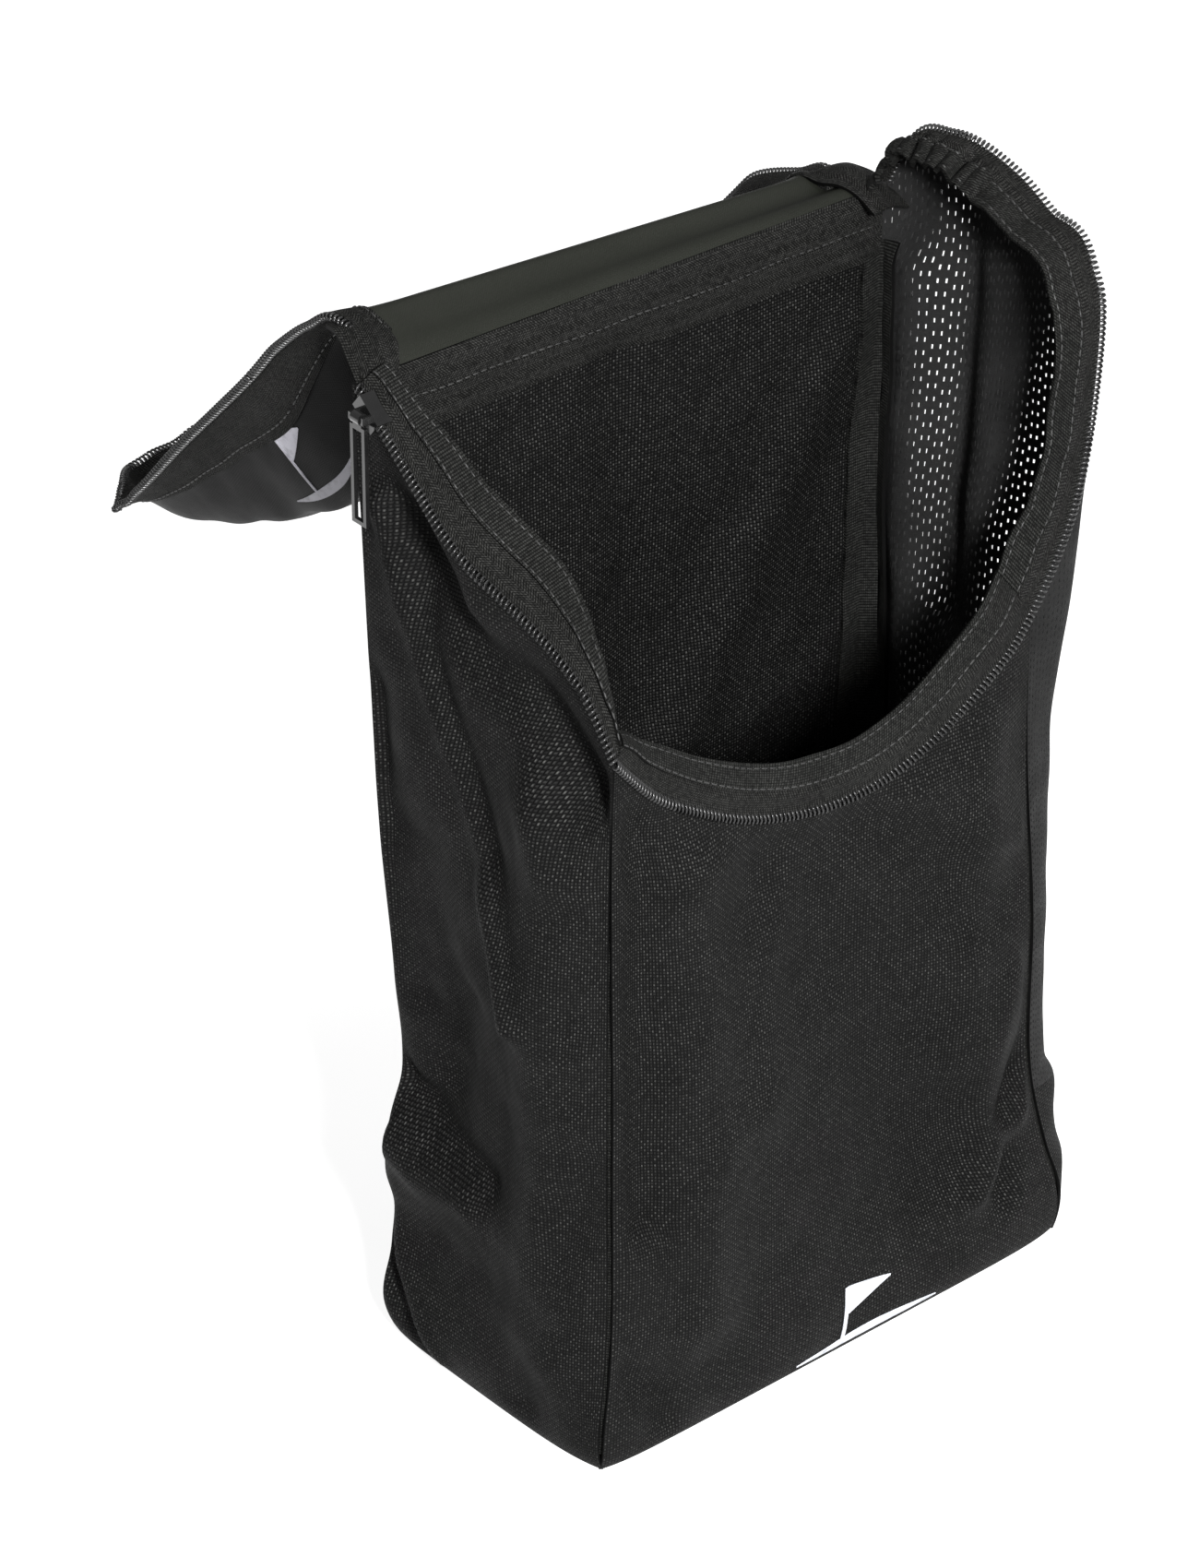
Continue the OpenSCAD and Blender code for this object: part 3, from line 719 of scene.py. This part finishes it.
# From the coil to the tape's inner edge, as (share of the side, x, y, z)
LEFT_IN = spline([(0, 9, -1, 4), (0.1, 11, 0, 5), (0.25, 15, 1, 7), (0.44, 19, 1, 8), (0.6, 19.5, 1, 7.5),
                  (0.75, 14.5, 2, 6), (0.88, 9, 4, 5), (1, 5, 6, 5)])
FRONT_IN = spline([(0, 5, 6, 5), (0.04, 4, 7, 9), (0.1, 3.5, 6.5, 13), (0.21, 3, 5.5, 15),
                   (0.34, 2, 5, 15.5), (0.5, 0, 5, 16), (0.73, -3.5, 5.5, 16), (0.85, -6, 6, 16),
                   (0.94, -8, 6, 16), (1, -10, 6, 15.5)])
RIGHT_IN = spline([(0, -10, 6, 15.5), (0.03, -13, 6, 13), (0.06, -15, 5, 6), (0.09, -15.5, 4, 0),
                   (0.12, -16, 3, -2), (0.16, -17, 2, -3), (0.22, -18, 1, -3), (0.4, -18, 0, -3),
                   (0.56, -17, 0, -5), (0.78, -14, -1, -6), (0.92, -11, -2, -4), (1, -9, -2, 1)])
# Shares of the way in where the tape ends, the hem starts and the two stitch rows run
TAPE_END, HEM_START, ROW_ONE, ROW_TWO = 0.58, 0.5, 0.545, 0.93


def lip_points(side, inward, u, t, gather=None):
    """Points on the tape round the mouth: t runs from the coil (0) to the inner edge (1)."""
    line, reach = SIDES[side]["lip"](u), inward(u)
    p = line + reach * t[..., None]
    way = np.gradient(line, axis=1)
    n = unit(np.cross(way, reach))
    arch = 1.5 * np.sin(math.pi * np.clip(t, 0, 1))
    run = lengths(line, 1)
    arch = arch + 0.5 * ripple(run, t * 10, 28, 91) * ease(t * 2)
    if gather is not None:
        arch = arch + gather(u, t, run)
    return p + n * arch[..., None]


def gather_right(u, t, run):
    """The tall lip's crumpled tape, worst where it turns the top back corner."""
    wild = 0.3 + 2.2 * ease((u - 0.42) / 0.2) * (1 - 0.5 * ease((u - 0.9) / 0.1))
    return wild * (ripple(run, 9 * t, 15, 17) + 0.6 * ripple(run, 5 * t, 8, 18)) * ease(t * 1.6)


def gather_left(_, t, run):
    """The slumped lip's light gathers, alike along its whole length."""
    return 0.5 * ripple(run, 6 * t, 17, 19) * ease(t * 2)


def build_lip(side, inward, count, gather, mover, names, nodes, span=(0.0, 1.0)):
    """One side's zip tape, hem, coil and two rows of stitches."""
    u = np.linspace(span[0], span[1], count)
    tape_t, hem_t = np.linspace(0.02, TAPE_END, 9), np.linspace(HEM_START, 1, 9)
    for label, rows, mat, thick, lift in (("tape", tape_t, TAPE, 1.0, 0.3), ("hem", hem_t, BINDING, 1.5, 0.9)):
        uu, tt = np.meshgrid(u, rows)
        p = lip_points(side, inward, uu, tt, gather)
        obj = shell(f"{names}_{label}", p, strip_uv(p), [mat], thick=thick, lift=lift)
        mover(obj, "zip_tape", nodes[label])
    uu, tt = np.meshgrid(u, np.array([0.0, 0.04, ROW_ONE, ROW_TWO]))
    p = lip_points(side, inward, uu, tt, gather)
    n = unit(np.cross(np.gradient(p[0], axis=0), inward(u)))
    wire = coil(f"{names}_coil", p[0] - unit(inward(u)) * 0.6 + n * 0.4, unit(inward(u)), [NYLON])
    mover(wire, "zip_coil", nodes["coil"])
    for k, proud in ((1, 1.75), (2, 1.65)):
        line = stitches(f"{names}_stitches_{k}", p[k + 1] + n * proud, [THREAD_MAT])
        mover(line, "zip_tape")


def build_mouth():
    build_lip("left", LEFT_IN, 120, gather_left, with_left_corner, "left_lip",
              {"tape": ["left_zip_tape"], "hem": ["left_corner_tape"], "coil": ["left_zip_coil"]}, (0.02, 1.0))
    build_lip("front", FRONT_IN, 190, None, with_left_corner, "front_lip",
              {"tape": ["front_zip_tape"], "hem": [], "coil": ["front_zip_coil"]})
    build_lip("right", RIGHT_IN, 240, gather_right, with_right_lip, "right_lip_edge",
              {"tape": ["right_zip_tape"], "hem": ["right_lip_tape"], "coil": ["right_zip_coil"]}, (0.0, 0.98))


HINGE_LAYERS = (
    ("hinge_tape_cloth", ["hinge_tape"], [(1.4, 347), (1.6, 351), (1.3, 354.6), (0, 355.6), (-1.3, 354.8),
                                          (-1.9, 352), (-2.2, 347.5), (-2.0, 343.5)]),
    ("hinge_hem_cloth", [], [(-1.5, 345.5), (-1.5, 341), (-1.8, 336.5), (-1.3, 333)]),
)
HINGE_SEAM_Z, HINGE_SEAM_IN = 344.6, 2.75


def hinge_wave(u, z):
    return 0.5 * ripple(u * 200, np.full(u.shape, z), 44, 61)


def build_hinge_tape():
    """Two layers of tape over the back panel's top edge: (outward, height) across the strip."""
    u = np.linspace(0.012, 0.988, 212)
    for name, nodes, across in HINGE_LAYERS:
        rows = []
        for out, z in across:
            level = np.full(u.shape, min(z, BACK_TOP))
            _, way = base_line(SIDES["back"], u, level)
            row, wave = at_height("back", u, level), hinge_wave(u, z)
            row[:, :2] += way * (out - 0.2 * abs(out) * wave)[:, None]
            row[:, 2] = z + wave * (0.8 if z < 350 else 0.3)
            rows.append(row)
        p = np.stack(rows)
        on_body(shell(name, p, strip_uv(p), [TAPE], thick=1.2), "bag_body", nodes)
    u = np.linspace(0.03, 0.97, 400)
    level = np.full(u.shape, HINGE_SEAM_Z)
    line = at_height("back", u, level)
    _, way = base_line(SIDES["back"], u, level)
    line[:, :2] -= way * HINGE_SEAM_IN
    line[:, 2] += hinge_wave(u, HINGE_SEAM_Z)
    on_body(stitches("hinge_stitches", line, [THREAD_MAT]), "bag_body")


# Rows along each cover from the lip to the ridge, as (x, y, z) and the way across it
COVERS = {
    "left": [(-107, 38, 341.5, 9, 1, 5), (-106.5, 46, 348.5, 10, 2, 4), (-105, 54, 354.5, 11, -2, 2),
             (-102, 62, 358.5, 12, -4, 2), (-100, 70, 361.5, 12, -3, 0), (-98.5, 78, 361, 11, 0, -1)],
    "right": [(103, 44, 350, -13, -1, 3), (103, 51, 355, -14, -1, 2), (102, 58, 357, -14, -1, 1),
              (100, 64, 357.5, -14, -1, 0), (99, 70, 356.5, -13, 0, 0), (98.5, 76, 353.5, -12, 0, 0)],
}


def build_end_covers():
    """Folded tape from each lip over the hinge to the flap's edge."""
    for side, table in COVERS.items():
        keyed = spline([(k, *row) for k, row in enumerate(table)])
        s, t = np.meshgrid(np.linspace(0, len(table) - 1, 60), np.linspace(-0.25, 1, 12))
        at = keyed(s)
        p = at[..., :3] + at[..., 3:] * t[..., None]
        arch = 1.8 * np.sin(math.pi * np.clip((t + 0.25) / 1.25, 0, 1))
        p[..., 2] += arch + 0.7 * ripple(s * 9, t * 9, 17, 83)
        if side == "right":
            p = p[::-1]
        obj = shell(f"{side}_end_cover", p, strip_uv(p), [TAPE], thick=1.3)
        between(obj, ["zip_end_covers"])


# ---------------------------------------------------------------- flap

# Rows of the open flap from the hinge (0) over the ridge to its end (1), as (share, y, z)
FLAP_MID = spline([(0, 52.5, 355.8), (0.05, 62, 361.5), (0.10, 72, 367), (0.125, 77, 368.3), (0.15, 82, 364),
                   (0.20, 86, 350), (0.32, 90, 318), (0.42, 95, 293), (0.48, 104, 281), (0.60, 130, 266),
                   (0.75, 162, 250), (0.88, 194, 237), (0.95, 212, 236), (1, 222, 242)])
FLAP_EDGE = spline([(0, 52.5, 355.8), (0.05, 62, 361.8), (0.10, 72, 367), (0.14, 81, 367.5), (0.20, 92, 359),
                    (0.30, 106, 343), (0.42, 122, 324.5), (0.56, 141, 305), (0.70, 161, 285), (0.85, 183, 262),
                    (1, 204, 242)])
FLAP_HALF = spline([(0, 96), (0.15, 97), (0.42, 97), (0.75, 96.5), (1, 95)])
CREASE = 0.42                    # share where the tongue starts
EDGE_R, EDGE_Q = 0.042, 0.1      # width of the edge tape, as shares of the length and half the width
RIDGE_SAG, RIDGE_SLANT = 4.5, 8.0    # how low the ridge hangs at its left end, and how much more at its right
TAPE_IN, TAPE_HALF = 0.86, 1.25      # share of the tape's width and the height where its stitches run


def flap(r, q):
    """Points on the flap: r runs from the hinge to its end, q from its left edge (-1) to its right (1)."""
    mid, edge = FLAP_MID(r), FLAP_EDGE(r)
    steep = ease((np.abs(q) - 0.76) / 0.24)
    yz = mid + (edge - mid) * steep[..., None]
    x = q * FLAP_HALF(r)
    loose = ease((r - 0.16) / 0.1) * (1 - steep)
    yz = yz + (np.stack([-0.5 * np.ones_like(r), -0.87 * np.ones_like(r)], -1)
               * (loose * (2.5 * ripple(x, r * 240, 110, 3) + 0.8 * ripple(x, r * 240, 40, 4)))[..., None])
    curl = ease((r - 0.84) / 0.16) * (1 - q * q)
    crumple = ease((r - 0.86) / 0.1)
    yz = yz + np.stack([11 * curl, 2 * curl + 2.0 * crumple * ripple(x, r * 200, 26, 8)], -1)
    low_ridge = (RIDGE_SAG + RIDGE_SLANT * (x + 97) / 194) * ease(r / 0.1) * (1 - ease((r - 0.15) / 0.2))
    yz = yz - np.stack([0.35 * low_ridge, low_ridge], -1)
    return np.concatenate([x[..., None], yz], -1)


def with_ridge(obj, slot, nodes=()):
    return between(obj, nodes)


def with_crease(obj, slot, nodes=()):
    return between(obj, nodes)


def flap_panel(name, r):
    even_q = np.linspace(-1, 1, 141)
    q = (np.sin(even_q * math.pi / 2) * 0.35 + even_q * 0.65) * 0.985
    qq, rr = np.meshgrid(q, r)
    p = flap(rr, qq)
    return shell(name, p, strip_uv(p), [OLIVE, GLOSS], thick=0.9, rim_mat=1)


def outline(w):
    """The tongue's edge from its left end (0) round its end to the right (3), as (r, q)."""
    r = np.where(w < 1, CREASE + (1 - CREASE) * w, np.where(w > 2, 1 - (1 - CREASE) * (w - 2), 1.0))
    q = np.clip(2 * w - 3, -1, 1)
    return r, q


def flap_edge(prefix, r, q, mover, tape_nodes, coil_nodes, flip):
    """Tape, coil and stitches along a line of (r, q) on the flap's edge."""
    in_r, in_q = np.minimum(r, 1 - EDGE_R), np.clip(q, -1 + EDGE_Q, 1 - EDGE_Q)
    t = np.linspace(0, 1, 8)[:, None]
    p = flap(r + (in_r - r) * t, q + (in_q - q) * t)
    if flip:
        p = p[::-1]
    tape = shell(f"{prefix}_tape", p, strip_uv(p), [TAPE], thick=2.3)
    mover(tape, "zip_tape", tape_nodes)
    rim, inner = flap(r, q), flap(in_r, in_q)
    away = unit(rim - inner)
    mover(coil(f"{prefix}_coil", rim + away * 1.1, away, [NYLON]), "zip_coil", coil_nodes)
    n = unit(np.cross(np.gradient(rim, axis=0), away))
    row = flap(r + (in_r - r) * TAPE_IN, q + (in_q - q) * TAPE_IN)
    for k, sign in enumerate((1, -1)):
        mover(stitches(f"{prefix}_stitches_{k + 1}", row + n * sign * TAPE_HALF, [THREAD_MAT]), "zip_tape")


def build_flap():
    top = flap_panel("flap_top_cloth", np.linspace(0, CREASE, 74))
    with_ridge(top, "coated_fabric", ["flap_root_panel", "flap_top_panel"])
    tongue = flap_panel("flap_tongue_cloth", np.linspace(CREASE, 0.992, 90))
    with_crease(tongue, "coated_fabric", ["flap_tongue_panel"])
    r = np.linspace(0.07, CREASE, 120)
    for side, sign in (("left", -1.0), ("right", 1.0)):
        flap_edge(f"flap_{side}", r, np.full(r.shape, sign), with_ridge,
                  ["flap_side_zip_tapes"], ["flap_side_zip_coils"], sign < 0)
    r, q = outline(np.linspace(0, 3, 420))
    flap_edge("tongue", r, q, with_crease, ["tongue_zip_tape"], ["tongue_zip_coil"], True)


# ---------------------------------------------------------------- prints

def front_at(x, z):
    """The point on the front wall with that x and height."""
    a, b = FRONT_LEFT(z)[..., 0], FRONT_RIGHT(z)[..., 0]
    u = (x - a) / (b - a)
    for _ in range(4):
        u = u + (x - at_height("front", u, z)[..., 0]) / (b - a)
    return at_height("front", u, z)


def patch(corners, n):
    """A grid over a four-cornered patch."""
    c = np.array(corners, float)
    s, t = np.meshgrid(np.linspace(0, 1, n), np.linspace(0, 1, n))
    s, t = s[..., None], t[..., None]
    return (c[0] * (1 - s) + c[1] * s) * (1 - t) + (c[3] * (1 - s) + c[2] * s) * t


def pin_flag(tall):
    """A golf pin with its flag over a short green, as grids of (x, z) from its left end."""
    t, swell = np.meshgrid(np.linspace(-1, 1, 60), np.linspace(0, 1, 4))
    green = np.stack([1.25 + 1.25 * t, swell * (0.13 * (1 - t ** 2) + 0.02)], -1) * tall
    return {
        "green": green,
        "pole": patch([(0.74 * tall, 0.12 * tall), (0.81 * tall, 0.12 * tall), (0.81 * tall, tall),
                       (0.74 * tall, tall)], 24),
        "flag": patch([(0.82 * tall, 0.54 * tall), (1.62 * tall, 0.76 * tall), (1.62 * tall, 0.78 * tall),
                       (0.82 * tall, tall)], 26),
    }


FLAP_PRINT_TALL = 25


def build_marks():
    """The print low on the front wall, and the one on the flap's left flank."""
    low, high = (np.array(c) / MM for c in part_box("front_mark"))
    for label, grid in pin_flag(high[2] - low[2]).items():
        p = front_at(low[0] + grid[..., 0], low[2] + grid[..., 1])
        obj = shell(f"front_print_{label}", p, grid.copy(), [WHITE], thick=0.22, lift=0.58)
        on_body(obj, "bag_body", ["front_mark"])
    for label, grid in pin_flag(FLAP_PRINT_TALL).items():
        p = flap(0.57 - 0.0032 * grid[..., 0], -0.81 - 0.0044 * grid[..., 1])
        obj = shell(f"flap_print_{label}", p, grid.copy(), [GREY], thick=0.22, lift=0.56)
        with_crease(obj, "grey_print", ["flap_mark"])


# ---------------------------------------------------------------- slider, stage, lights and camera

def finish_slider():
    for node in ("slider_body", "slider_bridge", "pull_loop"):
        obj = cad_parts[node]
        obj.data.materials.clear()
        obj.data.materials.append(ENAMEL)
        for poly in obj.data.polygons:
            poly.use_smooth = True
        bevel = obj.modifiers.new("soft_edges", "BEVEL")
        bevel.width, bevel.segments, bevel.limit_method = 0.00018, 2, "ANGLE"
        bevel.angle_limit = math.radians(35)


FLOOR_HALF, FLOOR_DROP, FLOOR_GLOW = 10.0, 0.0006, 0.88


def build_stage():
    data = bpy.data.meshes.new("floor")
    corners = [(-FLOOR_HALF, -FLOOR_HALF, 0), (FLOOR_HALF, -FLOOR_HALF, 0),
               (FLOOR_HALF, FLOOR_HALF, 0), (-FLOOR_HALF, FLOOR_HALF, 0)]
    data.from_pydata(corners, [], [(0, 1, 2, 3)])
    floor = bpy.data.objects.new("floor", data)
    floor.location.z = -FLOOR_DROP
    floor.visible_diffuse = False
    bpy.context.scene.collection.objects.link(floor)
    mat = Finish("floor_paper", Roughness=0.9, Specular_IOR_Level=0.1, Emission_Color=(1, 1, 1, 1),
                 Emission_Strength=FLOOR_GLOW)
    mat.set(Base_Color=mat.ramp(mat.noise(3), [(0.3, (0.40, 0.40, 0.40)), (0.7, (0.44, 0.44, 0.44))]))
    data.materials.append(mat.mat)


# Lights: name, place, size and power. Each points at AIM.
AIM = (0, 0, 0.2)
LIGHTS = (
    ("key", (-0.68, -1.46, 1.2), 0.3, 84),
    ("overhead", (0.3, 0.1, 1.9), 0.9, 10),
    ("side", (1.5, -0.5, 0.9), 0.6, 3),
)
SKY_POWER = 0.24


def area_light(name, place, size, power):
    light = bpy.data.lights.new(name, "AREA")
    light.shape, light.size, light.energy = "SQUARE", size, power
    obj = bpy.data.objects.new(name, light)
    obj.location = place
    obj.rotation_mode = "QUATERNION"
    obj.rotation_quaternion = (Vector(AIM) - Vector(place)).to_track_quat("-Z", "Y")
    bpy.context.scene.collection.objects.link(obj)


def build_lights():
    bpy.context.scene.view_settings.view_transform = "Standard"
    world = bpy.data.worlds.new("studio")
    bpy.context.scene.world = world
    world.use_nodes = True
    sky = world.node_tree.nodes["Background"]
    sky.inputs[0].default_value = (1, 1, 1, 1)
    sky.inputs[1].default_value = SKY_POWER
    for light in LIGHTS:
        area_light(*light)


# Camera: its angles in degrees, the point it looks at, its distance and its lens
AZIMUTH, ELEVATION, ROLL = -39.98, 32.13, 0.29
LOOK_AT, DISTANCE = (-0.0586, 0, 0.2200), 1.570
SENSOR, LENS = 36.0, 116.47


def build_camera():
    azimuth, elevation, roll = (math.radians(x) for x in (AZIMUTH, ELEVATION, ROLL))
    back = Vector((math.sin(azimuth) * math.cos(elevation), -math.cos(azimuth) * math.cos(elevation),
                   math.sin(elevation)))
    side = Vector((0, 0, 1)).cross(back).normalized()
    rise = back.cross(side)
    side, rise = (side * math.cos(roll) + rise * math.sin(roll), rise * math.cos(roll) - side * math.sin(roll))
    data = bpy.data.cameras.new("camera")
    data.sensor_width, data.lens = SENSOR, LENS
    data.clip_start, data.clip_end = 0.05, 50
    obj = bpy.data.objects.new("camera", data)
    place = Vector(LOOK_AT) + back * DISTANCE
    obj.matrix_world = Matrix.Translation(place) @ Matrix((side, rise, back)).transposed().to_4x4()
    bpy.context.scene.collection.objects.link(obj)
    bpy.context.scene.camera = obj


build_camera()
build_walls()
build_mesh_wall()
build_bottom()
build_bindings()
build_mouth()
build_hinge_tape()
build_end_covers()
build_flap()
build_marks()
finish_slider()
build_stage()
build_lights()
